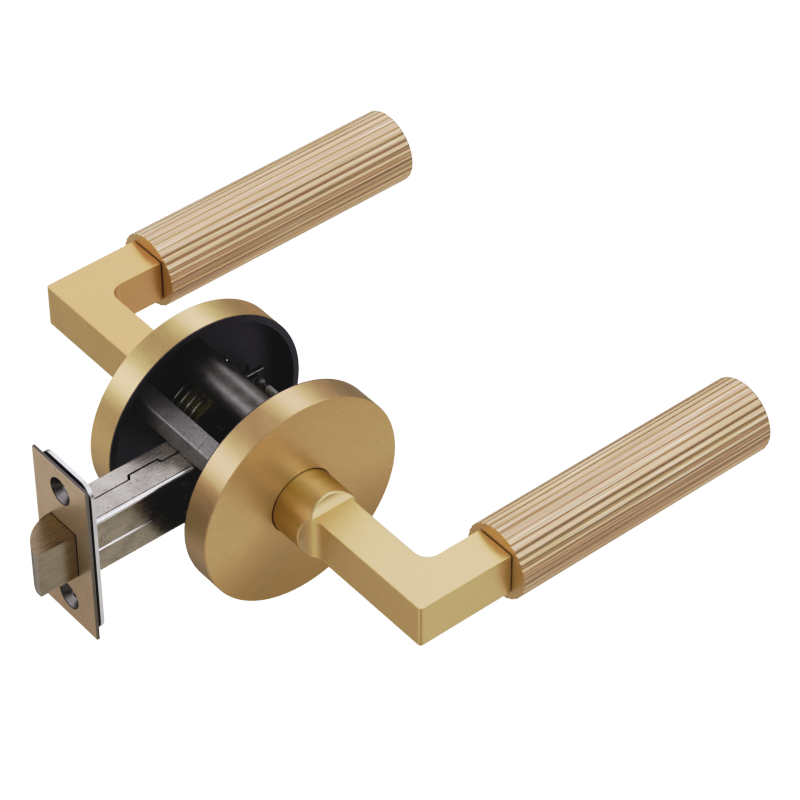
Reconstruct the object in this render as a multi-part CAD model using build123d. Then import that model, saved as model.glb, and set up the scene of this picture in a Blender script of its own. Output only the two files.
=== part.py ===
from build123d import *
import math
import os

# Lever handle lockset: two roses, two L-shaped levers with reeded grips, and a
# tubular spring latch.  Millimetres, +Z up.
# Origin: on the spindle axis, midway between the two roses' backs.
# +X is the way the grips point, -X is towards the latch bolt,
# -Y is the front (outside) rose, +Y the rear (room side) rose.

os.makedirs("parts", exist_ok=True)

# ------------------------------------------------------------ driving sizes
BACKSET = 60.325        # faceplate front to spindle axis
ROSE_R = 33.5           # rose outer radius
ROSE_T = 9.55           # rose thickness
GAP = 33.8              # door space between the roses
Y_BACK = GAP / 2        # rose back plane
Y_FACE = Y_BACK + ROSE_T
NECK_R = 10.35
BAR_X = 12.8            # lever bar width
BAR_Z = 14.4            # lever bar height
BAR_OUT = Y_FACE + 58.4     # outer face of the elbow
BAR_IN = Y_FACE + 45.25     # inner face of the grip run
SCOOP_Y = 37.5          # the neck starts to narrow into the bar
SCOOP_R = 5.8           # radius of the hollow on each side of the neck
RIDGE_FILLET = 0.6      # rounding where the neck runs into its hollows
CREASE_Y = 40.05        # top and bottom hollows meet the bar's flats here
GRIP_R = 11.77
GRIP_X0, GRIP_X1 = 25.7, 117.9
GRIP_Y = (BAR_OUT + BAR_IN) / 2 + 0.15
RIBS = 30
RIB_DEPTH = 0.4
SPINDLE = 8.0
TURN = 62.0             # lever travel, degrees
THROW = 12.05           # bolt travel
POST_Z = 19.0           # through-bolt centres are 38 mm apart
POST_R = 5.6
LATCH_Y = 1.375         # latch centre plane
CASE_Y0, CASE_Y1 = -5.6, 8.4
CASE_Z = 9.6
CASE_X0, CASE_X1 = -56.85, -19.9
SHEET = 0.7
SHANK_R = 8.0
PLATE_Y0, PLATE_Y1 = 23.4, 24.6   # mounting plate floor


# ------------------------------------------------------------ helpers
def box(x0, x1, y0, y1, z0, z1):
    return Pos((x0 + x1) / 2, (y0 + y1) / 2, (z0 + z1) / 2) * Box(x1 - x0, y1 - y0, z1 - z0)


def cyl(r, y0, y1, x=0.0, z=0.0):
    """Cylinder along Y."""
    return Pos(x, (y0 + y1) / 2, z) * Rot(90, 0, 0) * Cylinder(r, abs(y1 - y0))


def cylx(r, x0, x1, y=0.0, z=0.0):
    """Cylinder along X."""
    return Pos((x0 + x1) / 2, y, z) * Rot(0, 90, 0) * Cylinder(r, abs(x1 - x0))


def coney(r0, r1, y0, y1, x=0.0, z=0.0):
    """Cone along Y, radius r0 at y0 and r1 at y1 (y1 > y0)."""
    return Pos(x, (y0 + y1) / 2, z) * Rot(-90, 0, 0) * Cone(r0, r1, y1 - y0)


def save(name, shape):
    if isinstance(shape, (list, ShapeList)):
        shape = Compound(children=list(shape)) if len(shape) > 1 else shape[0]
    export_step(shape, "parts/%s.step" % name)


def front(shape):
    """The same piece on the front side."""
    return mirror(shape, about=Plane.XZ)


def pair(name, shape):
    save("rear_" + name, shape)
    save("front_" + name, front(shape))


# ------------------------------------------------------------ rose covers
def rose_cover():
    body = cyl(ROSE_R, Y_BACK + 0.4, Y_FACE) - cyl(ROSE_R - 1.0, Y_BACK + 0.3, PLATE_Y1 + 0.15)
    edge = body.edges().filter_by(GeomType.CIRCLE).filter_by(
        lambda e: abs(e.radius - ROSE_R) < 0.01 and abs(e.center().Y - Y_FACE) < 0.01)
    body = fillet(edge, 0.35)
    return body - cyl(NECK_R + 0.2, PLATE_Y1, Y_FACE + 1)


pair("rose_cover", rose_cover())


# ------------------------------------------------------------ mounting plates
WALL_IN, WALL_OUT = 31.4, 32.15


def mounting_plate(rear):
    p = cyl(WALL_OUT, Y_BACK + 0.1, PLATE_Y1) - cyl(WALL_IN, Y_BACK, PLATE_Y0)
    p += cyl(ROSE_R - 0.1, Y_BACK, Y_BACK + 0.35) - cyl(WALL_IN, Y_BACK - 0.1, Y_BACK + 0.5)
    p += cyl(13.0, PLATE_Y0 - 0.5, PLATE_Y0 + 0.1)          # raised seat round the bush
    p -= cyl(9.95, PLATE_Y0 - 2, PLATE_Y1 + 1)
    hole = 4.8 if rear else 3.55
    for z in (POST_Z, -POST_Z):
        p -= cyl(hole, PLATE_Y0 - 2, PLATE_Y1 + 1, 0, z)
    # peg that carries the fixed leg of the return spring
    p += cyl(1.0, 20.8, PLATE_Y0 + 0.2, 12.4, 9.35)
    if rear:                         # pressed pockets beside the post, with a raised lip between them
        p += box(19.4, 25.3, PLATE_Y0 - 0.5, PLATE_Y0 + 0.1, -0.15, 0.2)
        p -= box(19.6, 25.1, PLATE_Y0 - 0.1, PLATE_Y0 + 0.8, 0.2, 1.2)
        p -= box(19.9, 23.2, PLATE_Y0 - 0.1, PLATE_Y0 + 0.8, -2.4, -0.15)
        p -= cyl(1.9, PLATE_Y0 - 0.1, PLATE_Y0 + 0.8, 18.6, 2.6)
    else:                            # blind seat for the alignment dowel
        p -= cyl(1.25, PLATE_Y0 - 0.1, PLATE_Y0 + 0.8, 20.8, 0)
    for sx in (-1, 1):                                       # square tenons of the key bars
        p -= box(sx * 17.2 - 2.05, sx * 17.2 + 2.05, PLATE_Y0 - 1, PLATE_Y1 + 1,
                 -sx * 13.4 - 2.05, -sx * 13.4 + 2.05)
    return p


save("rear_mounting_plate", mounting_plate(True))
save("front_mounting_plate", front(mounting_plate(False)))

def beyond_mitre(sx, gap, y_end):
    """Everything on one side of the mitred joint between a key bar and its stub."""
    cx, reach = sx * 17.2, 4.0
    low, high = -5.5 - 0.4 * sx * -reach + gap, -5.5 - 0.4 * sx * reach + gap
    face = make_face(Polyline((cx - reach, low), (cx + reach, high), (cx + reach, y_end), (cx - reach, y_end), close=True))
    return Pos(0, 0, -sx * 13.4 - 5) * extrude(face, 10, dir=(0, 0, 1))


stubs = []
for sx in (-1, 1):                                           # keyed stubs facing the bars
    stub = box(sx * 17.2 - 3.2, sx * 17.2 + 3.2, -PLATE_Y0 + 0.05, -3.8, -sx * 13.4 - 3.65, -sx * 13.4 + 3.65)
    stub = chamfer(stub.edges().filter_by(Axis.Y), 0.3)
    stub -= beyond_mitre(sx, -0.1, 0)
    stub += box(sx * 17.2 - 1.8, sx * 17.2 + 1.8, -6.6, -2.6, -sx * 13.4 - 2.4, -sx * 13.4 + 2.4)
    stub += box(sx * 17.2 - 2.0, sx * 17.2 + 2.0, -PLATE_Y1 + 0.05, -PLATE_Y0 + 0.1, -sx * 13.4 - 2.0, -sx * 13.4 + 2.0)
    stubs.append(stub)
save("front_key_stubs", stubs)

for name, sx in (("latch_side_key_bar", -1), ("far_side_key_bar", 1)):
    bar = box(sx * 17.2 - 3.2, sx * 17.2 + 3.2, -7.4, PLATE_Y0 - 0.05, -sx * 13.4 - 3.65, -sx * 13.4 + 3.65)
    bar = chamfer(bar.edges().filter_by(Axis.Y), 0.3)
    bar -= beyond_mitre(sx, 0.1, -12)
    bar -= box(sx * 17.2 - 1.85, sx * 17.2 + 1.85, -8, -2.4, -sx * 13.4 - 2.45, -sx * 13.4 + 2.45)
    bar += box(sx * 17.2 - 2.0, sx * 17.2 + 2.0, PLATE_Y0 - 0.1, PLATE_Y1 - 0.05, -sx * 13.4 - 2.0, -sx * 13.4 + 2.0)
    save(name, bar)

# ------------------------------------------------------------ posts, screws, dowel
for name, z in (("upper_post_sleeve", POST_Z), ("lower_post_sleeve", -POST_Z)):
    s = cyl(POST_R, -PLATE_Y0 + 0.05, PLATE_Y0 - 0.05, 0, z)
    s += cyl(3.5, -PLATE_Y1 + 0.05, -PLATE_Y0 + 0.1, 0, z)
    s -= cyl(2.5, -16, PLATE_Y0 + 1, 0, z)
    s -= coney(2.5, 4.8, 21.9, PLATE_Y0 + 0.8, 0, z)
    save(name, s)

screws = []
for z in (POST_Z, -POST_Z):
    s = cyl(2.4, -12.0, 22.2, 0, z) + coney(2.4, 4.55, 22.0, 24.2, 0, z) + cyl(4.55, 24.2, 24.5, 0, z)
    s -= box(-2.6, 2.6, 23.1, 25, z - 0.45, z + 0.45)
    s -= box(-0.45, 0.45, 23.1, 25, z - 2.6, z + 2.6)
    screws.append(s)
save("mounting_screws", screws)

dowel = cyl(1.2, -PLATE_Y0 - 0.75, 15.2, 20.8, 0) + cyl(0.8, 15.1, 18.3, 20.8, 0)
for i in range(9):                                           # fine grooves round its free end
    y = 14.65 - 0.55 * i
    dowel -= cyl(1.4, y - 0.12, y + 0.12, 20.8, 0) - cyl(1.05, y - 0.2, y + 0.2, 20.8, 0)
dowel += Pos(20.8, 18.75, 0) * Sphere(1.5)
save("alignment_dowel", dowel)

# ------------------------------------------------------------ lever bushes and rings
bush = cyl(9.9, 21.65, PLATE_Y1 + 0.05) + cyl(10.3, PLATE_Y1 + 0.02, 25.2)
bush -= cyl(SHANK_R + 0.05, 20, 26)
pair("lever_bush", bush)

ring = cyl(9.4, 20.85, 21.5) - cyl(7.25, 20, 22) - box(-2.0, 2.0, 20, 22, -12, 0)
for sx in (-1, 1):
    ring += cyl(1.3, 20.85, 21.5, sx * 3.3, -8.1) - cyl(0.55, 20, 22, sx * 3.3, -8.1)
pair("retaining_ring", ring)

# ------------------------------------------------------------ spring driver
STOP_R = 14.4           # stop sector that meets the post sleeves
STOP_A1 = 78.3          # its upper edge at rest, degrees above +X
STOP_A0 = -STOP_A1 + TURN


def at(r, a):
    return (r * math.cos(math.radians(a)), 0, r * math.sin(math.radians(a)))


sector = make_face([
    Line((0, 0, 0), at(STOP_R, STOP_A0)),
    ThreePointArc(at(STOP_R, STOP_A0), at(STOP_R, (STOP_A0 + STOP_A1) / 2), at(STOP_R, STOP_A1)),
    Line(at(STOP_R, STOP_A1), (0, 0, 0)),
])
driver = cyl(10.0, 10.6, 20.7) + cyl(12.2, 9.5, 10.7)
driver += Pos(0, 9.5, 0) * extrude(sector, 1.2, dir=(0, 1, 0))
driver += cyl(1.0, 10.6, 12.6, *[at(STOP_R - 1.2, 32)[k] for k in (0, 2)])   # peg for the moving spring leg
driver -= cyl(SHANK_R + 0.02, 9, 21)
pair("spring_driver", driver)

# ------------------------------------------------------------ return springs
WIRE = 0.6              # wire radius
COIL_R = 11.05
COIL_TURNS = 3.75
COIL_Y0, COIL_Y1 = 11.7, 21.9


def coil_spring(radius, wire, pitch, turns, lead_in, lead_out):
    """Coil along +Z from z = 0, starting on +X, with straight tangent legs."""
    path = Helix(pitch=pitch, height=pitch * turns, radius=radius)
    out = sweep(Plane(origin=path @ 0, z_dir=path % 0) * Circle(wire), path=path)
    for t, length in ((0, -lead_in), (1, lead_out)):
        if length:
            pl = Plane(origin=path @ t, z_dir=path % t)
            out = out + extrude(pl * Circle(wire), length)
    return out


pitch = (COIL_Y1 - COIL_Y0) / COIL_TURNS
coil = Pos(0, COIL_Y0, 0) * Rot(-90, 0, 0) * coil_spring(COIL_R, WIRE, pitch, COIL_TURNS, 5.2, 11.9)
print("return spring volume", round(coil.volume, 2), "wire section times length",
      round(math.pi * WIRE ** 2 * (math.hypot(2 * math.pi * COIL_R, pitch) * COIL_TURNS + 17.1), 2))
pair("return_spring", coil)


# ------------------------------------------------------------ lever arm
def lever_arm():
    y0 = 25.3
    hx, hz = BAR_X / 2, BAR_Z / 2
    bar_end = GRIP_X0 - 0.3
    # plan: round neck, a hollow each side, then the L-shaped bar
    cx, cy = hx + SCOOP_R, SCOOP_Y + 5.5
    sx0 = cx - math.sqrt(SCOOP_R ** 2 - (cy - SCOOP_Y) ** 2)
    am = math.radians(180 + math.degrees(math.asin((cy - SCOOP_Y) / SCOOP_R)) / 2)
    mid = (cx + SCOOP_R * math.cos(am), cy + SCOOP_R * math.sin(am))
    plan = make_face([
        Line((sx0, y0), (sx0, SCOOP_Y)),
        ThreePointArc((sx0, SCOOP_Y), mid, (hx, cy)),
        Line((hx, cy), (hx, BAR_IN)),
        Line((hx, BAR_IN), (bar_end, BAR_IN)),
        Line((bar_end, BAR_IN), (bar_end, BAR_OUT)),
        Line((bar_end, BAR_OUT), (-hx, BAR_OUT)),
        Line((-hx, BAR_OUT), (-hx, cy)),
        ThreePointArc((-hx, cy), (-mid[0], mid[1]), (-sx0, SCOOP_Y)),
        Line((-sx0, SCOOP_Y), (-sx0, y0)),
        Line((-sx0, y0), (sx0, y0)),
    ])
    a = Pos(0, 0, -11) * extrude(plan, 22, dir=(0, 0, 1))

    def upright(x, y):
        return a.edges().filter_by(Axis.Z).filter_by(
            lambda e: abs(e.center().X - x) < 0.01 and abs(e.center().Y - y) < 0.01)

    a = fillet(upright(hx, BAR_IN), 4.6)
    a = fillet(upright(-hx, BAR_OUT), 1.1)
    # side profile: full height at the neck, hollow top and bottom, then the bar's flats
    side = Plane(origin=(-12, 0, 0), x_dir=(0, 1, 0), z_dir=(1, 0, 0)) * make_face([
        Line((y0, 11), (SCOOP_Y + 0.05, 11)),
        Line((SCOOP_Y + 0.05, 11), (SCOOP_Y + 0.05, 10.4)),
        ThreePointArc((SCOOP_Y + 0.05, 10.4), (38.56, 8.615), (CREASE_Y, hz)),
        Line((CREASE_Y, hz), (BAR_OUT + 1, hz)),
        Line((BAR_OUT + 1, hz), (BAR_OUT + 1, -hz)),
        Line((BAR_OUT + 1, -hz), (CREASE_Y, -hz)),
        ThreePointArc((CREASE_Y, -hz), (38.56, -8.615), (SCOOP_Y + 0.05, -10.4)),
        Line((SCOOP_Y + 0.05, -10.4), (SCOOP_Y + 0.05, -11)),
        Line((SCOOP_Y + 0.05, -11), (y0, -11)),
        Line((y0, -11), (y0, 11)),
    ])
    b = extrude(side, 60, dir=(1, 0, 0))
    c = cyl(NECK_R, y0, 44.0) + box(-12, 40, 43.5, BAR_OUT + 2, -11, 11)
    arm = a & b & c
    rim = arm.edges().filter_by(lambda e: abs(abs(e.center().Z) - hz) < 0.001 and
                                e.center().Y > CREASE_Y + 0.5 and e.center().X < bar_end - 0.1)
    arm = fillet(rim.filter_by(lambda e: e.center().Z < 0), 0.6)
    rim = arm.edges().filter_by(lambda e: abs(e.center().Z - hz) < 0.001 and
                                e.center().Y > CREASE_Y + 0.5 and e.center().X < bar_end - 0.1)
    arm = fillet(rim, 0.25)
    # the ridges between the round neck and its hollows are rounded over
    ridges = arm.edges().filter_by(lambda e: 36.5 < e.center().Y < 43.9 and all(
        abs(math.hypot((e @ t).X, (e @ t).Z) - NECK_R) < 0.02 for t in (0.1, 0.3, 0.5, 0.7, 0.9)))
    arm = fillet(ridges, RIDGE_FILLET)
    # tenon that the grip slides on
    arm += cylx(6.0, GRIP_X0 - 1, 75.0, GRIP_Y, 0)
    arm -= cylx(2.5, 58.0, 76.0, GRIP_Y, 0)
    # shank through the rose
    arm += cyl(SHANK_R, 9.4, y0 + 1)
    arm -= cyl(SHANK_R + 2, 20.8, 21.55) - cyl(7.2, 20, 22)
    s = SPINDLE / 2 + 0.05
    arm -= box(-s, s, 9, 38.0, -s, s)
    # set screw hole from below
    arm -= Pos(0, 31.5, -8) * Cylinder(2.55, 8.5)
    return arm


pair("lever_arm", lever_arm())

set_screw = Pos(0, 31.5, -6.85) * Cylinder(2.5, 5.4)
set_screw -= Pos(0, 31.5, -9.0) * extrude(RegularPolygon(1.45, 6), 2.2)
pair("set_screw", set_screw)


# ------------------------------------------------------------ reeded grip
def grip(turned=0.0):
    edges = []
    r_v = GRIP_R - RIB_DEPTH
    step = 2 * math.pi / RIBS

    def p(r, ang):
        return (r * math.cos(ang), r * math.sin(ang))

    for i in range(RIBS):
        a0 = i * step + math.radians(turned)
        edges.append(ThreePointArc(p(r_v, a0), p(GRIP_R, a0 + step / 2), p(r_v, a0 + step)))
    face = make_face(edges)
    pl = Plane(origin=(GRIP_X0, GRIP_Y, 0), x_dir=(0, 1, 0), z_dir=(1, 0, 0))
    g = extrude(pl * face, GRIP_X1 - GRIP_X0)
    # crisp edge beside the bar, rounded far end
    env = cylx(GRIP_R + 0.1, GRIP_X0, GRIP_X1, GRIP_Y, 0)
    ends = env.edges().filter_by(GeomType.CIRCLE).sort_by(Axis.X)
    env = chamfer(ends[:1], 0.2)
    env = fillet(env.edges().filter_by(GeomType.CIRCLE).sort_by(Axis.X)[-1:], 1.4)
    g = g & env
    g -= cylx(6.05, GRIP_X0 - 1, 76.0, GRIP_Y, 0)
    g -= cylx(2.7, 75.0, 85.0, GRIP_Y, 0)
    g -= cylx(5.0, 84.0, GRIP_X1 + 1, GRIP_Y, 0)
    g -= cylx(9.0, 115.2, GRIP_X1 + 1, GRIP_Y, 0)
    return g


save("front_grip", front(grip()))
save("rear_grip", grip(-3.0))

cap = cylx(8.95, 115.25, GRIP_X1, GRIP_Y, 0) + cylx(4.95, 110.0, 115.3, GRIP_Y, 0)
pair("grip_end_cap", cap)

gbolt = cylx(2.45, 60.0, 84.1, GRIP_Y, 0) + cylx(4.2, 84.05, 88.5, GRIP_Y, 0)
gbolt -= Pos(85.8, GRIP_Y, 0) * Rot(0, 90, 0) * extrude(RegularPolygon(2.3, 6), 4)
pair("grip_bolt", gbolt)

# ------------------------------------------------------------ spindle
sp = box(-SPINDLE / 2, SPINDLE / 2, -37.4, 37.4, -SPINDLE / 2, SPINDLE / 2)
sp = chamfer(sp.edges().filter_by(Axis.Y), 0.45)
save("spindle", sp)

# ------------------------------------------------------------ latch faceplates
FACE_T = 1.025          # brass faceplate thickness
CUP_X = -58.2           # depth at which each screw cup narrows to its hole
fp = box(-BACKSET, -BACKSET + FACE_T, LATCH_Y - 12.25, LATCH_Y + 12.25, -28.0, 28.0)
fp = chamfer(fp.edges().filter_by(lambda e: abs(e.center().X + BACKSET) < 0.01), 0.12)
fp -= box(-62, -58, -4.65, 7.4, -8.0, 8.0)
for z in (20.0, -20.0):
    fp -= cylx(4.35, -62, -58, LATCH_Y, z)
save("latch_faceplate", fp)

bp = box(-58.5, -56.9, LATCH_Y - 11.5, LATCH_Y + 11.5, -27.6, 27.6)
bp = fillet(bp.edges().filter_by(Axis.X), 5.0)
bp -= box(-62, -56, -4.65, 7.4, -8.0, 8.0)
for z in (20.0, -20.0):                                      # screw cups that stand in the faceplate's holes
    bp += cylx(4.3, -60.2, -58.4, LATCH_Y, z)
    bp -= Pos((-60.2 + CUP_X) / 2, LATCH_Y, z) * Rot(0, 90, 0) * Cone(4.15, 2.3, CUP_X + 60.2)
    bp -= cylx(2.3, CUP_X - 0.05, -56, LATCH_Y, z)
for z in (12.5, -12.5):
    bp += cylx(1.6, -59.28, -58.4, LATCH_Y, z)
save("latch_backplate", bp)

# ------------------------------------------------------------ latch case halves
outer = box(CASE_X0, CASE_X1, CASE_Y0, CASE_Y1, -CASE_Z, CASE_Z)
long_edges = outer.edges().filter_by(Axis.X)
outer = fillet(long_edges.filter_by(lambda e: e.center().Y < 0), 1.15)
outer = fillet(outer.edges().filter_by(Axis.X).filter_by(
    lambda e: abs(e.center().Y - CASE_Y1) < 0.01 and abs(abs(e.center().Z) - CASE_Z) < 0.01), 0.8)
inner = box(CASE_X0 - 1, CASE_X1 + 1, CASE_Y0 + SHEET, CASE_Y1 - SHEET, -CASE_Z + SHEET, CASE_Z - SHEET)
inner = fillet(inner.edges().filter_by(Axis.X), 0.4)
shell = outer - inner
SEAM = 2.25
JOG_Y = 3.7


def seam_tab(g):
    """Tab of the near half that reaches into the far half, grown by g."""
    face = make_face(Polyline((-37.3 - g, 0), (-37.3 - g, SEAM + g), (-36.4 - g, JOG_Y + g),
                              (-26.7 + g, JOG_Y + g), (-26.2 + g, SEAM + g), (-26.2 + g, 0), close=True))
    return Pos(0, 0, -20) * extrude(face, 40, dir=(0, 0, 1))


near_half = shell & (box(-70, -10, -20, SEAM - 0.25, -20, 20) + seam_tab(-0.25))
far_half = shell & (box(-70, -10, SEAM + 0.25, 20, -20, 20) - seam_tab(0.25))
for sz in (-1, 1):
    # broken edge along the far half's side of the seam
    bevel = Plane(origin=(-58, 0, 0), x_dir=(0, 1, 0), z_dir=(1, 0, 0)) * make_face(Polyline(
        (SEAM + 0.15, sz * (CASE_Z - 0.32)), (SEAM + 0.57, sz * (CASE_Z + 0.10)),
        (SEAM + 0.15, sz * (CASE_Z + 0.10)), close=True))
    far_half -= extrude(bevel, 39, dir=(1, 0, 0))
    # rolled line close to the near edge
    near_half -= box(CASE_X0 - 1, -21.0, -4.5, -4.2, *sorted((sz * (CASE_Z - 0.25), sz * (CASE_Z + 1))))
# rolled groove along each side, its lower wall sloped
for sy, y in ((-1, CASE_Y0), (1, CASE_Y1)):
    groove = Plane(origin=(-58, 0, 0), x_dir=(0, 1, 0), z_dir=(1, 0, 0)) * make_face(Polyline(
        (y + sy, 1.6), (y - sy * 0.3, 1.6), (y - sy * 0.3, -0.95), (y + sy, -2.25), close=True))
    groove = extrude(groove, 34, dir=(1, 0, 0))
    if sy < 0:
        near_half -= groove
    else:
        far_half -= groove
for sy, y0, y1 in ((-1, CASE_Y0 - 1, CASE_Y0 + 1), (1, CASE_Y1 - 1, CASE_Y1 + 1)):
    for z in (5.4, -5.4):
        hole = cyl(1.25, y0, y1, -24.0, z)
        if sy < 0:
            near_half -= hole
        else:
            far_half -= hole
save("latch_case_near_half", near_half)
save("latch_case_far_half", far_half)


# ------------------------------------------------------------ hub cheeks
def cheek(y_in, y_out, y_tongue):
    lo, hi = min(y_in, y_out), max(y_in, y_out)
    c = box(CASE_X1 + 0.1, 13.0, lo, hi, -CASE_Z, CASE_Z)
    c = fillet(c.edges().filter_by(Axis.Y).filter_by(lambda e: e.center().X > 12), 4.0)
    lo2, hi2 = min(y_in, y_tongue), max(y_in, y_tongue)
    c += box(-28.6, CASE_X1 + 0.2, lo2, hi2, -8.4, 8.4)
    c -= cyl(6.55, -20, 20)
    for z in (5.0, -5.0):
        c -= cyl(0.95, -20, 20, 11.0, z)
    for z in (5.4, -5.4):
        c -= cyl(1.2, -20, 20, -24.0, z)
    return c


save("hub_cheek_near", cheek(-3.0, CASE_Y0 + 0.05, CASE_Y0 + SHEET + 0.05))
save("hub_cheek_far", cheek(5.7, CASE_Y1 - 0.05, CASE_Y1 - SHEET - 0.05))

spacers = []
for z in (5.0, -5.0):
    spacers.append(cyl(1.4, -2.95, 5.65, 11.0, z) + cyl(0.9, CASE_Y0 + 0.1, CASE_Y1 - 0.1, 11.0, z))
save("cheek_spacers", spacers)

rivets = []
for z in (5.4, -5.4):
    rivets.append(cyl(1.15, CASE_Y0 - 0.25, -3.05, -24.0, z))
    rivets.append(cyl(1.15, 5.75, CASE_Y1 + 0.25, -24.0, z))
save("case_rivets", rivets)

# ------------------------------------------------------------ bolt and its tail
plan = make_face([
    Line((-50.0, -4.45), (-72.9, -4.45)),
    Line((-72.9, -4.45), (-72.95, -2.4)),
    ThreePointArc((-72.95, -2.4), (-68.75, 4.2), (-61.4, 7.2)),
    Line((-61.4, 7.2), (-50.0, 7.2)),
    Line((-50.0, 7.2), (-50.0, -4.45)),
])
bolt = Pos(0, 0, -7.8) * extrude(plan, 15.6, dir=(0, 0, 1))
bolt -= cylx(1.52, -58.0, -49.0, LATCH_Y, 0)
bolt -= cylx(4.6, -52.2, -49.0, LATCH_Y, 0)          # spring pocket
save("latch_bolt", bolt)

rod = cylx(1.5, -57.8, -24.7, LATCH_Y, 0) + cylx(2.6, -25.9, -24.7, LATCH_Y, 0)
save("bolt_tail_rod", rod)

seat = box(-32.2, -31.0, CASE_Y0 + SHEET + 0.08, CASE_Y1 - SHEET - 0.08, -CASE_Z + SHEET + 0.08, CASE_Z - SHEET - 0.08)
seat -= cylx(1.9, -34, -30, LATCH_Y, 0)
save("spring_seat", seat)

b_turns = 5.5
b_len = (-32.75) - (-51.65)
bs = coil_spring(3.3, 0.45, b_len / b_turns, b_turns, 0, 0)
bs = Pos(-51.65, LATCH_Y, 0) * Rot(0, 90, 0) * bs
save("bolt_spring", bs)

# ------------------------------------------------------------ retractor
ret = box(-30.0, -26.2, -1.4, 5.3, -5.0, 8.3)
ret += box(-30.0, -2.2, 2.9, 5.3, 7.0, 8.3)
ret += box(-4.43, -2.2, 2.9, 5.3, 7.0, 12.4)
ret += box(-4.43, -2.2, -0.1, 5.3, 10.0, 12.4)
ret -= cylx(1.6, -31, -25, LATCH_Y, 0)
save("retractor", ret)

# ------------------------------------------------------------ follower
half = math.radians(TURN / 2)
tip = (-11.7 * math.sin(half), 11.7 * math.cos(half))
root = (-6.0 * math.sin(math.radians(40)), 6.0 * math.cos(math.radians(40)))


def arm_plan(p, r0, q, r1):
    """Rounded tapered finger in the XZ plane between two circles."""
    dx, dz = q[0] - p[0], q[1] - p[1]
    L = math.hypot(dx, dz)
    a = math.atan2(dz, dx)
    b = math.acos((r0 - r1) / L)
    pts = []
    for s in (1, -1):
        pts.append((p[0] + r0 * math.cos(a + s * b), p[1] + r0 * math.sin(a + s * b)))
        pts.append((q[0] + r1 * math.cos(a + s * b), q[1] + r1 * math.sin(a + s * b)))
    return [pts[0], pts[1], pts[3], pts[2]]


quad = arm_plan(root, 2.3, tip, 1.2)
quad_face = make_face(Polyline(*[(x, 0, z) for x, z in quad], close=True))
fol = cyl(7.4, -0.2, 2.6) + cyl(6.5, -5.3, 8.05)
arm_solid = extrude(quad_face, 2.6, dir=(0, 1, 0))
arm_solid = Pos(0, -0.1, 0) * arm_solid
fol += arm_solid
fol += cyl(1.2, -0.1, 2.5, tip[0], tip[1])
fol += cyl(2.3, -0.1, 2.5, root[0], root[1])
s = SPINDLE / 2 + 0.05
fol -= box(-s, s, -6, 9, -s, s)
save("follower", fol)

print("throw per radian, mm:", round(THROW / math.radians(TURN), 4))
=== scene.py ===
import math

import bpy
from mathutils import Matrix, Vector


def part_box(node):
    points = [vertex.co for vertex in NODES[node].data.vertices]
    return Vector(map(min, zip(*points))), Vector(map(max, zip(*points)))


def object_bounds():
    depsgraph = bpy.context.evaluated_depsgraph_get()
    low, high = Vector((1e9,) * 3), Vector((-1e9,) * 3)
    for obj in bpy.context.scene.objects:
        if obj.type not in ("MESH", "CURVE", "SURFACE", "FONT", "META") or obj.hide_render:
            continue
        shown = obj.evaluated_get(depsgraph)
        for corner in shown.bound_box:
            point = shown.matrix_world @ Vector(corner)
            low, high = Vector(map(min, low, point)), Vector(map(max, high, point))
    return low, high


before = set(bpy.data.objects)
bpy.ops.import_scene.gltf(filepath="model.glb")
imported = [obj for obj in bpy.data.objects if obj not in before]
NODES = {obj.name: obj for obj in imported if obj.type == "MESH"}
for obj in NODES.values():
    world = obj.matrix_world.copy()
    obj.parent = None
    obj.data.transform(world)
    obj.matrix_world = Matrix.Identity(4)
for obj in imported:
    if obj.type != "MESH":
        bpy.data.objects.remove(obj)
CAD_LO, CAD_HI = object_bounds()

scene = bpy.context.scene

# ------------------------------------------------------------------ camera
AZ, EL, ROLL = math.radians(-39.646), math.radians(42.79), math.radians(-0.012)
cam_data = bpy.data.cameras.new("camera")
cam_data.sensor_width = 36.0
cam_data.lens = 162.939
cam_data.clip_start, cam_data.clip_end = 0.05, 60.0
cam = bpy.data.objects.new("camera", cam_data)
scene.collection.objects.link(cam)
back = Vector((math.sin(AZ) * math.cos(EL), -math.cos(AZ) * math.cos(EL), math.sin(EL)))
right = (-back).cross(Vector((0, 0, 1))).normalized()
up = right.cross(-back).normalized()
rot = Matrix((right, up, back)).transposed() @ Matrix.Rotation(ROLL, 3, "Z")
cam.matrix_world = Matrix.Translation(Vector((-0.434033, -0.592528, 0.697409))) @ rot.to_4x4()
scene.camera = cam


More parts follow.
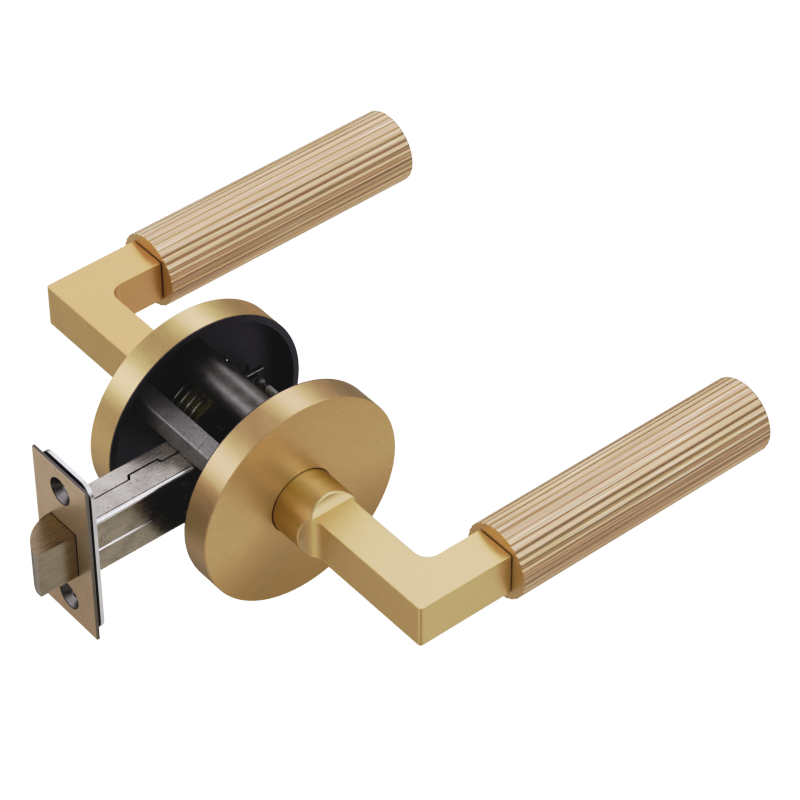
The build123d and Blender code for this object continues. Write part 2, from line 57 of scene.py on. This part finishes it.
# ------------------------------------------------------------------ shader helpers
class Tree:
    """A small wrapper that adds nodes to one material and links them."""

    def __init__(self, name):
        self.mat = bpy.data.materials.new(name)
        self.mat.use_nodes = True
        self.nt = self.mat.node_tree
        self.nt.nodes.clear()
        self.out = self.add("ShaderNodeOutputMaterial")
        self.bsdf = self.add("ShaderNodeBsdfPrincipled")
        self.link(self.bsdf.outputs["BSDF"], self.out.inputs["Surface"])
        self.coord = self.add("ShaderNodeTexCoord").outputs["Object"]

    def add(self, kind, **props):
        n = self.nt.nodes.new(kind)
        for k, v in props.items():
            setattr(n, k, v)
        return n

    def link(self, a, b):
        self.nt.links.new(a, b)

    def put(self, socket, value):
        if hasattr(value, "is_output"):
            self.link(value, socket)
        else:
            socket.default_value = value

    def stretch(self, scale, turn=(0, 0, 0), shift=(0, 0, 0), source=None):
        m = self.add("ShaderNodeMapping", vector_type="POINT")
        self.link(source or self.coord, m.inputs["Vector"])
        m.inputs["Scale"].default_value = scale
        m.inputs["Rotation"].default_value = turn
        m.inputs["Location"].default_value = shift
        return m.outputs["Vector"]

    def noise(self, vector, scale=1.0, detail=3.0, rough=0.5, distort=0.0):
        n = self.add("ShaderNodeTexNoise")
        self.link(vector, n.inputs["Vector"])
        n.inputs["Scale"].default_value = scale
        n.inputs["Detail"].default_value = detail
        n.inputs["Roughness"].default_value = rough
        n.inputs["Distortion"].default_value = distort
        return n.outputs["Fac"]

    def voronoi(self, vector, scale, feature="F1", randomness=1.0):
        n = self.add("ShaderNodeTexVoronoi", feature=feature)
        self.link(vector, n.inputs["Vector"])
        n.inputs["Scale"].default_value = scale
        n.inputs["Randomness"].default_value = randomness
        return n.outputs["Distance"]

    def math(self, op, a, b=0.0, c=0.0, clamp=False):
        n = self.add("ShaderNodeMath", operation=op, use_clamp=clamp)
        for s, v in zip(n.inputs, (a, b, c)):
            self.put(s, v)
        return n.outputs[0]

    def ramp(self, value, stops, mode="LINEAR"):
        """stops: [(position, grey or colour), ...]"""
        n = self.add("ShaderNodeValToRGB")
        n.color_ramp.interpolation = mode
        els = n.color_ramp.elements
        while len(els) < len(stops):
            els.new(0.5)
        for e, (p, c) in zip(els, stops):
            e.position = p
            e.color = (c, c, c, 1) if isinstance(c, (int, float)) else (*c[:3], 1)
        self.link(value, n.inputs["Fac"])
        return n.outputs["Color"]

    def remap(self, value, lo, hi, to_lo, to_hi, smooth=False):
        n = self.add("ShaderNodeMapRange")
        n.interpolation_type = "SMOOTHSTEP" if smooth else "LINEAR"
        self.put(n.inputs["Value"], value)
        n.inputs["From Min"].default_value = lo
        n.inputs["From Max"].default_value = hi
        n.inputs["To Min"].default_value = to_lo
        n.inputs["To Max"].default_value = to_hi
        return n.outputs["Result"]

    def mix(self, fac, a, b, mode="MIX"):
        n = self.add("ShaderNodeMix", data_type="RGBA", blend_type=mode)
        self.put(n.inputs[0], fac)
        for s, v in ((n.inputs[6], a), (n.inputs[7], b)):
            if isinstance(v, tuple):
                s.default_value = (*v[:3], 1)
            else:
                self.link(v, s)
        return n.outputs[2]

    def xyz(self, source=None):
        n = self.add("ShaderNodeSeparateXYZ")
        self.link(source or self.coord, n.inputs[0])
        return n.outputs

    def normal_xyz(self):
        g = self.add("ShaderNodeTexCoord").outputs["Normal"]
        return self.xyz(g)

    def edge_wear(self, radius=0.0012):
        """0 on flats, towards 1 on outer edges."""
        b = self.add("ShaderNodeBevel")
        b.samples = 4
        b.inputs["Radius"].default_value = radius
        g = self.add("ShaderNodeNewGeometry")
        d = self.add("ShaderNodeVectorMath", operation="DOT_PRODUCT")
        self.link(b.outputs[0], d.inputs[0])
        self.link(g.outputs["Normal"], d.inputs[1])
        return self.remap(d.outputs["Value"], 0.995, 0.90, 0.0, 1.0)

    def bump(self, height, strength, distance=0.0002, normal=None):
        b = self.add("ShaderNodeBump")
        self.link(height, b.inputs["Height"])
        b.inputs["Strength"].default_value = strength
        b.inputs["Distance"].default_value = distance
        if normal is not None:
            self.link(normal, b.inputs["Normal"])
        return b.outputs["Normal"]

    def inside(self, lo, hi):
        """1 inside a box given in millimetres, 0 outside"""
        out = None
        for sock, a, b in zip(self.xyz(), lo, hi):
            for op, lim in (("GREATER_THAN", a), ("LESS_THAN", b)):
                if lim is None:
                    continue
                m = self.math(op, sock, lim / 1000.0)
                out = m if out is None else self.math("MULTIPLY", out, m)
        return out

    def finish(self, color, rough, metallic=1.0, normal=None, **consts):
        b = self.bsdf
        if isinstance(color, tuple):
            b.inputs["Base Color"].default_value = (*color[:3], 1)
        else:
            self.link(color, b.inputs["Base Color"])
        self.put(b.inputs["Roughness"], rough)
        self.put(b.inputs["Metallic"], metallic)
        if normal is not None:
            self.link(normal, b.inputs["Normal"])
        for k, v in consts.items():
            b.inputs[k.replace("_", " ")].default_value = v
        return self.mat


def tint(c, k):
    return tuple(x * k for x in c)


def scaled(c, v):
    """colour times a per-channel vector"""
    return tuple(x * y for x, y in zip(c, v))


BRASS = (0.80, 0.626, 0.365)
SATIN = 0.65            # blasted satin brass: part mirror, part milky
# painted highlights and painted shade on the round necks, a colour by the angle of the surface about the spindle axis,
# degrees from +X
NECK_PAINTED_LIGHT = [(40, (0.65, 0.49, 0.35)), (50, (0.72, 0.57, 0.45)), (60, (0.82, 0.71, 0.52)), (70, (0.92, 0.83, 0.69)), (80, (0.86, 0.80, 0.77)),
              (88, (0.90, 0.79, 0.84)), (96, (1.00, 0.93, 0.99)), (107, (1.00, 0.95, 0.91)), (115, (0.98, 0.83, 0.63)), (125, (0.83, 0.70, 0.58)), (136, (0.78, 0.68, 0.62)), (146, (0.78, 0.70, 0.81)), (160, (0.83, 0.76, 0.92)), (180, (0.86, 0.76, 0.92))]


def satin_brass(name, base, grain_scale, rough=0.36, amount=0.05, turn=(0, 0, 0), bump=0.12,
                streak=0.0, specks=0.0, low=None, tones=(), neck_light=None, metallic=SATIN, face=None):
    """Satin brass: long fine grain lines, a slow tone drift, faint blotches.
    low: (z0, z1, colour multiplier) darker towards the bottom, mm;
    tones: [(axis, sign or 0, colour)] other tones on faces that look along an axis;
    face: metallic value on the flat faces that look along Y;
    neck_light: colour multiplier on the round necks between rose and bar, painted light that brightens and pales them."""
    t = Tree(name)
    v = t.stretch(grain_scale, turn)
    fine = t.noise(v, 1.0, 4.0, 0.62)
    fine2 = t.noise(t.stretch(tuple(s * 2.7 for s in grain_scale), turn, (3.1, 1.7, 5.2)), 1.0, 3.0, 0.6)
    slow = t.noise(t.coord, 38.0, 2.0, 0.5)
    tone = t.math("ADD", t.math("MULTIPLY", t.math("SUBTRACT", fine, 0.5), 1.0), t.math("MULTIPLY", t.math("SUBTRACT", slow, 0.5), 0.55))
    k = t.remap(tone, -0.35, 0.35, 0.0, 1.0)
    col = t.mix(k, tint(base, 1 - amount), tint(base, 1 + amount))
    if neck_light:
        # painted highlights and painted shade on the round necks: the colour brightened and paled, then shaded by the
        # angle about the spindle axis
        m = t.remap(t.math("ABSOLUTE", t.xyz()[1]), 0.0400, 0.0320, 0.0, 1.0)
        nx, ny, nz = t.normal_xyz()
        painted_neck_highlights = t.ramp(t.math("DIVIDE", t.math("ARCTAN2", nz, nx), math.pi), [(a / 180.0, c) for a, c in NECK_PAINTED_LIGHT])
        painted_neck_light = t.mix(1.0, t.mix(1.0, col, neck_light, "MULTIPLY"), painted_neck_highlights, "MULTIPLY")
        col = t.mix(m, col, painted_neck_light)
        metallic = t.remap(m, 0.0, 1.0, metallic, 0.96)
    # colours on faces that look along an axis: lit and shaded copies of the base, painted light and shade, and on the
    # latch faceplate also its dark bare edges
    for axis, sign, other in tones:
        n = t.math("MULTIPLY", t.normal_xyz()[axis], float(sign)) if sign else t.math("ABSOLUTE", t.normal_xyz()[axis])
        other = t.mix(k, tint(other, 1 - amount), tint(other, 1 + amount))
        col = t.mix(t.remap(n, 0.55, 0.80, 0.0, 1.0), col, other)
    if low:
        # darker towards the bottom; on the front rose this is painted shade from below
        f = t.remap(t.xyz()[2], low[0] / 1000.0, low[1] / 1000.0, 1.0, 0.0, smooth=True)
        col = t.mix(f, col, t.mix(1.0, col, low[2], "MULTIPLY"))
    if streak:
        s2 = t.remap(fine2, 0.58, 0.70, 0.0, streak)
        col = t.mix(s2, col, t.mix(1.0, col, (0.5, 0.5, 0.5), "MULTIPLY"))
    if specks:
        pits = t.remap(t.noise(t.coord, 1300.0, 2.0, 0.5), 0.66, 0.73, 0.0, specks)
        col = t.mix(pits, col, tint(base, 0.45))
    r = t.remap(t.math("ADD", fine, t.math("MULTIPLY", slow, 0.5)), 0.4, 1.1, rough - 0.05, rough + 0.06)
    nrm = t.bump(t.math("ADD", fine, t.math("MULTIPLY", fine2, 0.5)), bump, 0.00006)
    if face is not None:
        metallic = t.remap(t.math("ABSOLUTE", t.normal_xyz()[1]), 0.6, 0.95, metallic, face)
    return t.finish(col, r, metallic, nrm)


GRIP_LO, GRIP_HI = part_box("rear_grip")
GRIP_AXIS_Y = (GRIP_LO.y + GRIP_HI.y) / 2
GRIP_R = max(GRIP_HI.z - GRIP_LO.z, GRIP_HI.y - GRIP_LO.y) / 2


def reeded_brass(name, base, valley_shade, rough=0.34):
    """Reeds turned and drawn lengthwise: grey-brown painted shade in the valleys, uneven bright and dark draw lines.
    """
    t = Tree(name)
    x, y, z = t.xyz()
    dy = t.math("SUBTRACT", t.math("ABSOLUTE", y), GRIP_AXIS_Y)
    rad = t.math("SQRT", t.math("ADD", t.math("MULTIPLY", dy, dy), t.math("MULTIPLY", z, z)))
    deep = t.remap(rad, GRIP_R - 0.00040, GRIP_R - 0.00020, 1.0, 0.0)
    side = t.math("GREATER_THAN", x, GRIP_LO.x + 0.00006)      # not on the flat end
    deep = t.math("MULTIPLY", deep, side)
    lines = t.noise(t.stretch((10, 1250, 1250)), 1.0, 1.5, 0.6)
    lines2 = t.noise(t.stretch((24, 2300, 2300), shift=(2.0, 5.0, 1.0)), 1.0, 1.0, 0.5)
    reeds = t.noise(t.stretch((2, 520, 520), shift=(9.0, 4.0, 6.0)), 1.0, 2.0, 0.5)
    hues = t.noise(t.stretch((4, 700, 700), shift=(1.0, 8.0, 3.0)), 1.0, 2.0, 0.5)
    k = t.remap(t.math("ADD", t.math("MULTIPLY", lines, 0.55), t.math("MULTIPLY", lines2, 0.45)), 0.36, 0.64, 0.0, 1.0)
    skin = t.mix(k, tint(base, 0.72), tint(base, 1.16))
    skin = t.mix(1.0, skin, t.mix(t.remap(hues, 0.36, 0.64, 0.0, 1.0), (1.04, 0.965, 1.03), (0.98, 1.0, 0.94)), "MULTIPLY")
    skin = t.mix(t.remap(lines, 0.61, 0.66, 0.0, 0.62), skin, tint(base, 0.45))
    skin = t.mix(t.remap(lines2, 0.63, 0.67, 0.0, 0.75), skin, (0.99, 0.90, 0.74))
    skin = t.mix(t.remap(reeds, 0.38, 0.62, 0.0, 0.30), skin, tint(base, 0.66))
    # painted shade: the valleys between the reeds turn darker grey-brown
    skin = t.mix(t.math("MULTIPLY", deep, t.remap(reeds, 0.3, 0.7, 0.35, 0.95)), skin, valley_shade)
    col = t.mix(side, BRASS, skin)
    r = t.remap(t.math("ADD", lines, t.math("MULTIPLY", deep, 0.4)), 0.35, 0.95, rough - 0.06, rough + 0.14)
    nrm = t.bump(t.math("ADD", lines, t.math("MULTIPLY", lines2, 0.5)), 0.22, 0.00006)
    return t.finish(col, r, SATIN, nrm)


def plain_metal(name, base, rough, grain, amount=0.12, bump=0.15, speck=0.0, metallic=1.0, dist=0.00008,
                strokes=None, patch=None, wear=None, painted_light_boxes=(), slow_scale=90.0, dust=0.0, top=None, side=None):
    """Worked steel: directional scratches over mottled sheet.
    strokes: (grain, strength) short dark strokes; patch: (colour, strength) slow stains;
    painted_light_boxes: [(lo, hi, colour)] painted highlights and painted shade in boxes, mm;
    dust: pale specks; top: metallic value on the faces that look up;
    side: colour multiplier on the faces that look along Y, painted shade there."""
    t = Tree(name)
    fine = t.noise(t.stretch(grain), 1.0, 5.0, 0.65)
    slow = t.noise(t.coord, slow_scale, 3.0, 0.55)
    k = t.remap(t.math("ADD", t.math("MULTIPLY", fine, 0.6), t.math("MULTIPLY", slow, 0.4)), 0.35, 0.65, 0.0, 1.0)
    col = t.mix(k, tint(base, 1 - amount), tint(base, 1 + amount))
    if patch:
        p = t.remap(t.noise(t.coord, 160.0, 4.0, 0.6), 0.45, 0.68, 0.0, patch[1])
        col = t.mix(p, col, patch[0])
    if speck:
        pits = t.remap(t.noise(t.coord, 1500.0, 2.0, 0.5), 0.64, 0.72, 0.0, speck)
        col = t.mix(pits, col, tint(base, 0.35))
    if strokes:
        st = t.remap(t.noise(t.stretch(strokes[0], shift=(7.0, 3.0, 1.0)), 1.0, 2.0, 0.5), 0.66, 0.71, 0.0, strokes[1])
        col = t.mix(st, col, tint(base, 0.25))
    if wear:
        col = t.mix(t.math("MULTIPLY", t.edge_wear(0.0004), wear[1]), col, wear[0])
    if side:
        # painted shade on the faces that look along Y
        n = t.math("ABSOLUTE", t.normal_xyz()[1])
        col = t.mix(t.remap(n, 0.55, 0.80, 0.0, 1.0), col, t.mix(1.0, col, side, "MULTIPLY"))
    # painted highlights and painted shade, each a flat colour inside a box given in mm
    for lo, hi, c in painted_light_boxes:
        col = t.mix(t.inside(lo, hi), col, c)
    if dust:
        d = t.remap(t.noise(t.coord, 2300.0, 1.0, 0.5), 0.76, 0.79, 0.0, dust)
        col = t.mix(d, col, (0.75, 0.74, 0.72))
    r = t.remap(fine, 0.3, 0.7, rough - 0.06, rough + 0.08)
    nrm = t.bump(t.math("ADD", fine, t.math("MULTIPLY", slow, 0.4)), bump, dist)
    if top is not None:
        metallic = t.remap(t.normal_xyz()[2], 0.6, 0.95, metallic, top)
    return t.finish(col, r, metallic, nrm)


def use(mat, *names):
    for n in names:
        ob = NODES[n]
        ob.data.materials.clear()
        ob.data.materials.append(mat)


# ------------------------------------------------------------------ materials
CASE_LO, CASE_HI = (tuple(v * 1000 for v in c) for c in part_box("latch_case_near_half"))
PLATE_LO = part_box("rear_mounting_plate")[0].y * 1000

use(satin_brass("rose_brass", BRASS, (250, 250, 1600), 0.33, amount=0.06, specks=0.12), "rear_rose_cover")
# front rose, painted light and shade: a darker copy of the rose brass, shaded towards the bottom, with its own colour
# on the face that looks towards -Y
use(satin_brass("front_rose_brass", scaled(BRASS, (0.945, 0.915, 0.95)), (250, 250, 1600), 0.33, amount=0.06, specks=0.12,
                low=(-32.0, 2.0, (0.76, 0.70, 0.58)), tones=[(1, -1, scaled(BRASS, (0.94, 0.925, 0.875)))], face=0.34), "front_rose_cover")
# the levers: painted highlights and shade on the round necks, and painted light and shade as their own colour on the
# faces towards -X
use(satin_brass("lever_brass", BRASS, (420, 420, 1500), 0.36, amount=0.05, specks=0.10, neck_light=(1.24, 1.58, 1.84),
                tones=[(0, -1, scaled(BRASS, (0.97, 0.955, 0.88)))]), "front_lever_arm")
# the rear lever is a darker copy of the lever brass: painted shade
use(satin_brass("rear_lever_brass", scaled(BRASS, (0.93, 0.85, 0.81)), (420, 420, 1500), 0.36, amount=0.05, specks=0.10, neck_light=(1.24, 1.58, 1.84),
                tones=[(0, -1, scaled(BRASS, (0.97, 0.975, 0.93)))]), "rear_lever_arm")
# the second colour is the painted shade in the reed valleys
use(reeded_brass("grip_brass", (0.80, 0.625, 0.42), (0.54, 0.41, 0.27)), "front_grip", "rear_grip")
use(satin_brass("cap_brass", (0.76, 0.58, 0.36), (500, 900, 900), 0.34), "front_grip_end_cap", "rear_grip_end_cap")
use(satin_brass("faceplate_brass", (0.83, 0.69, 0.52), (300, 300, 1500), 0.29, amount=0.06, metallic=0.75,
                # darker towards the bottom; the edges dark grey, the bare sheared edge partly painted shade, darkest
                # on the edges that look up and down
                low=(-22.0, 16.0, (0.86, 0.82, 0.76)), tones=[(1, 0, (0.29, 0.27, 0.24)), (2, 0, (0.19, 0.17, 0.155))]), "latch_faceplate")
use(satin_brass("bolt_brass", (0.42, 0.37, 0.285), (90, 1900, 1900), 0.24, amount=0.26, bump=0.35, streak=1.0,
                # painted shade on the faces that look up and down, painted light on the faces towards -X
                tones=[(2, 0, (0.315, 0.265, 0.19)), (0, -1, (0.70, 0.62, 0.54))], metallic=0.97), "latch_bolt")
# the case: painted shade on its side faces, painted highlights on its edges
use(plain_metal("case_steel", (0.55, 0.515, 0.46), 0.27, (250, 1500, 1500), 0.16, speck=0.6, metallic=0.9, top=0.62, side=(0.87, 0.83, 0.76), bump=0.25,
                strokes=((1900, 520, 1900), 0.5), patch=((0.30, 0.275, 0.24), 0.40),
                # painted highlights: the rounded near top edge and the lower bevel of the side groove near white
                painted_light_boxes=[((-57.0, CASE_LO[1] - 0.1, CASE_HI[2] - 1.0), (-21.0, CASE_LO[1] + 1.08, CASE_HI[2] + 0.1), (0.98, 0.97, 0.95)),
                      ((-57.0, CASE_LO[1] - 0.1, -1.35), (-36.0, CASE_LO[1] + 0.26, -0.93), (0.98, 0.97, 0.95))]),
    "latch_case_near_half", "latch_case_far_half")
use(plain_metal("backplate_steel", (0.74, 0.73, 0.71), 0.30, (900, 900, 300), speck=0.3,
                # painted shade: a near-black strip along the edge by the faceplate, and darker screw cups
                painted_light_boxes=[((-59.0, -20, -40), (-58.1, 20, 40), (0.06, 0.06, 0.06)),
                      ((-61, -3.1, 15.5), (-57.6, 5.9, 24.5), (0.235, 0.22, 0.205)), ((-61, -3.1, -24.5), (-57.6, 5.9, -15.5), (0.235, 0.22, 0.205))]), "latch_backplate")
use(plain_metal("dark_steel", (0.18, 0.175, 0.17), 0.40, (400, 1500, 1500), speck=0.4, metallic=0.7), "hub_cheek_near", "hub_cheek_far", "follower", "retractor")
use(plain_metal("key_bar_steel", (0.42, 0.40, 0.375), 0.50, (2000, 1100, 2000), 0.26, speck=0.6, metallic=0.6, bump=0.3, dust=0.35,
                patch=((0.27, 0.255, 0.255), 0.5), wear=((0.75, 0.74, 0.72), 0.7)),
    "latch_side_key_bar", "far_side_key_bar", "front_key_stubs")
use(plain_metal("sleeve_steel", (0.31, 0.29, 0.27), 0.38, (900, 300, 900), 0.22, speck=0.6, metallic=0.8, bump=0.3,
                patch=((0.20, 0.19, 0.19), 0.5)), "upper_post_sleeve", "lower_post_sleeve")
use(plain_metal("bright_steel", (0.62, 0.61, 0.60), 0.3, (900, 300, 900), speck=0.35, metallic=0.85), "cheek_spacers", "case_rivets", "spindle", "bolt_tail_rod")
use(plain_metal("dowel_steel", (0.90, 0.87, 0.82), 0.42, (2000, 2000, 2000), 0.25, speck=0.6, metallic=0.3,
                # painted shade: the ball tip darker than the body
                painted_light_boxes=[((18, 15.3, -3), (24, 21, 3), (0.44, 0.42, 0.42))]), "alignment_dowel")
use(plain_metal("screw_steel", (0.42, 0.42, 0.41), 0.34, (900, 900, 900), speck=0.2, metallic=0.85), "mounting_screws", "front_set_screw", "rear_set_screw", "front_grip_bolt", "rear_grip_bolt")
use(plain_metal("coil_steel", (0.84, 0.83, 0.76), 0.20, (900, 900, 900), 0.2, metallic=0.9), "front_return_spring", "rear_return_spring", "bolt_spring", "spring_seat", "front_retaining_ring", "rear_retaining_ring")
use(plain_metal("yellow_zinc", (0.92, 0.82, 0.36), 0.26, (500, 500, 500), 0.08, metallic=0.7, bump=0.04), "front_spring_driver", "rear_spring_driver")
use(plain_metal("black_plate", (0.155, 0.142, 0.165), 0.42, (500, 500, 500), 0.2, metallic=0.5, speck=0.25, wear=((0.2, 0.2, 0.2), 0.3), dust=0.8,
                # painted highlight: a near-white line on the lower lip of the slot
                painted_light_boxes=[((19.3, PLATE_LO, -0.12), (25.4, 23.38, 0.3), (0.99, 0.98, 0.96))]), "front_mounting_plate", "rear_mounting_plate")
use(plain_metal("black_bush", (0.02, 0.02, 0.02), 0.45, (500, 500, 500), 0.2, metallic=0.0), "front_lever_bush", "rear_lever_bush")

for n, ob in NODES.items():
    me = ob.data
    me.shade_smooth()
    if hasattr(me, "set_sharp_from_angle"):
        me.set_sharp_from_angle(angle=math.radians(28))

# ------------------------------------------------------------------ floor
FLOOR_Z = CAD_LO.z - 0.095          # low enough to clear both levers when they are turned down
bpy.ops.mesh.primitive_plane_add(size=8.0, location=(0, 0, FLOOR_Z))
floor = bpy.context.object
floor.name = "floor"
ft = Tree("floor_paper")
fine = ft.noise(ft.coord, 220.0, 3.0, 0.6)
col = ft.mix(ft.remap(fine, 0.3, 0.7, 0.0, 1.0), (0.90, 0.90, 0.90), (0.93, 0.93, 0.93))
ft.finish(col, 0.9, 0.0)
ft.bsdf.inputs["Emission Color"].default_value = (1, 1, 1, 1)
ft.bsdf.inputs["Emission Strength"].default_value = 0.7
floor.data.materials.append(ft.mat)
floor.visible_glossy = False
floor.visible_diffuse = False

# ------------------------------------------------------------------ light
world = bpy.data.worlds.new("studio")
scene.world = world
world.use_nodes = True
wt = world.node_tree
wt.nodes.clear()
w_out = wt.nodes.new("ShaderNodeOutputWorld")
w_bg = wt.nodes.new("ShaderNodeBackground")
wt.links.new(w_bg.outputs[0], w_out.inputs[0])
w_tc = wt.nodes.new("ShaderNodeTexCoord")


def w_math(op, a, b=0.0, c=0.0, clamp=False):
    n = wt.nodes.new("ShaderNodeMath")
    n.operation = op
    n.use_clamp = clamp
    for sock, v in zip(n.inputs, (a, b, c)):
        if hasattr(v, "is_output"):
            wt.links.new(v, sock)
        else:
            sock.default_value = v
    return n.outputs[0]


def w_step(value, lo, hi, to_lo, to_hi):
    n = wt.nodes.new("ShaderNodeMapRange")
    n.interpolation_type = "SMOOTHSTEP"
    wt.links.new(value, n.inputs["Value"])
    n.inputs["From Min"].default_value = lo
    n.inputs["From Max"].default_value = hi
    n.inputs["To Min"].default_value = to_lo
    n.inputs["To Max"].default_value = to_hi
    return n.outputs["Result"]


# A studio tent with two long strip lights that run parallel to Y: brightness goes by
# the angle about Y, from -X over the top to +X.
STRIPS = [(-180, 0.20), (-172, 0.31), (-152, 0.42), (-122, 0.325), (-90, 0.20), (-58, 0.29), (-31, 0.22), (-11, 0.10),
          (8, 0.25), (22, 0.24), (36, 0.50), (46, 1.06), (57, 1.17), (68, 0.67), (80, 0.26), (97, 0.27), (112, 0.30),
          (124, 0.48), (136, 0.99), (147, 1.26), (158, 0.89), (168, 0.39), (178, 0.19)]
w_sep = wt.nodes.new("ShaderNodeSeparateXYZ")
wt.links.new(w_tc.outputs["Generated"], w_sep.inputs[0])
wx, wy, wz = w_sep.outputs
turn = w_math("MULTIPLY_ADD", w_math("ARCTAN2", wz, wx), 1.0 / (2 * math.pi), 0.5)
w_ramp = wt.nodes.new("ShaderNodeValToRGB")
els = w_ramp.color_ramp.elements
while len(els) < len(STRIPS):
    els.new(0.5)
for e, (deg, v) in zip(els, STRIPS):
    e.position = (deg + 180.0) / 360.0
    e.color = (v / 2, v / 2, v / 2, 1.0)
wt.links.new(turn, w_ramp.inputs["Fac"])
w_bw = wt.nodes.new("ShaderNodeRGBToBW")
wt.links.new(w_ramp.outputs["Color"], w_bw.inputs[0])
front_low = w_math("MULTIPLY", w_step(wy, 0.0, 0.42, 1.0, 0.0), w_step(wz, -0.35, 0.0, 1.0, 0.0))
front_left = w_math("MULTIPLY", w_step(wy, -0.35, 0.0, 1.0, 0.0), w_step(wx, -0.25, 0.10, 1.0, 0.0))
tent = w_math("ADD", w_math("MULTIPLY", front_low, 0.24), w_math("MULTIPLY", w_bw.outputs[0], 2.0))
tent = w_math("MULTIPLY", tent, w_math("MULTIPLY_ADD", front_left, -0.45, 1.0))
rho = w_math("SQRT", w_math("ADD", w_math("MULTIPLY", wx, wx), w_math("MULTIPLY", wz, wz)))
ends = w_step(rho, 0.10, 0.35, 1.0, 0.0)
tent = w_math("ADD", w_math("MULTIPLY", tent, w_math("SUBTRACT", 1.0, ends)), w_math("MULTIPLY", ends, w_step(wy, -0.2, 0.2, 0.42, 0.24)))
wt.links.new(tent, w_bg.inputs["Strength"])
# the strips are a little cooler than the tent
w_col = wt.nodes.new("ShaderNodeCombineXYZ")
w_col.inputs[0].default_value = 1.0
w_col.inputs[1].default_value = 1.0
wt.links.new(w_step(tent, 0.40, 1.0, 1.0, 1.12), w_col.inputs[2])
wt.links.new(w_col.outputs[0], w_bg.inputs["Color"])

# ------------------------------------------------------------------ tone
scene.view_settings.view_transform = "Standard"
scene.view_settings.look = "None"
scene.view_settings.exposure = 0.0
scene.view_settings.gamma = 1.0
scene.view_settings.use_curve_mapping = True
cm = scene.view_settings.curve_mapping
cm.initialize()
curve = cm.curves[3]
TONE = [(0.0, 0.006), (0.05, 0.018), (0.10, 0.062), (0.20, 0.195), (0.32, 0.43), (0.48, 0.633), (0.63, 0.77), (0.80, 0.89), (1.0, 1.0)]
while len(curve.points) < len(TONE):
    curve.points.new(0.5, 0.5)
for p, (x, y) in zip(curve.points, TONE):
    p.location = (x, y)
cm.update()
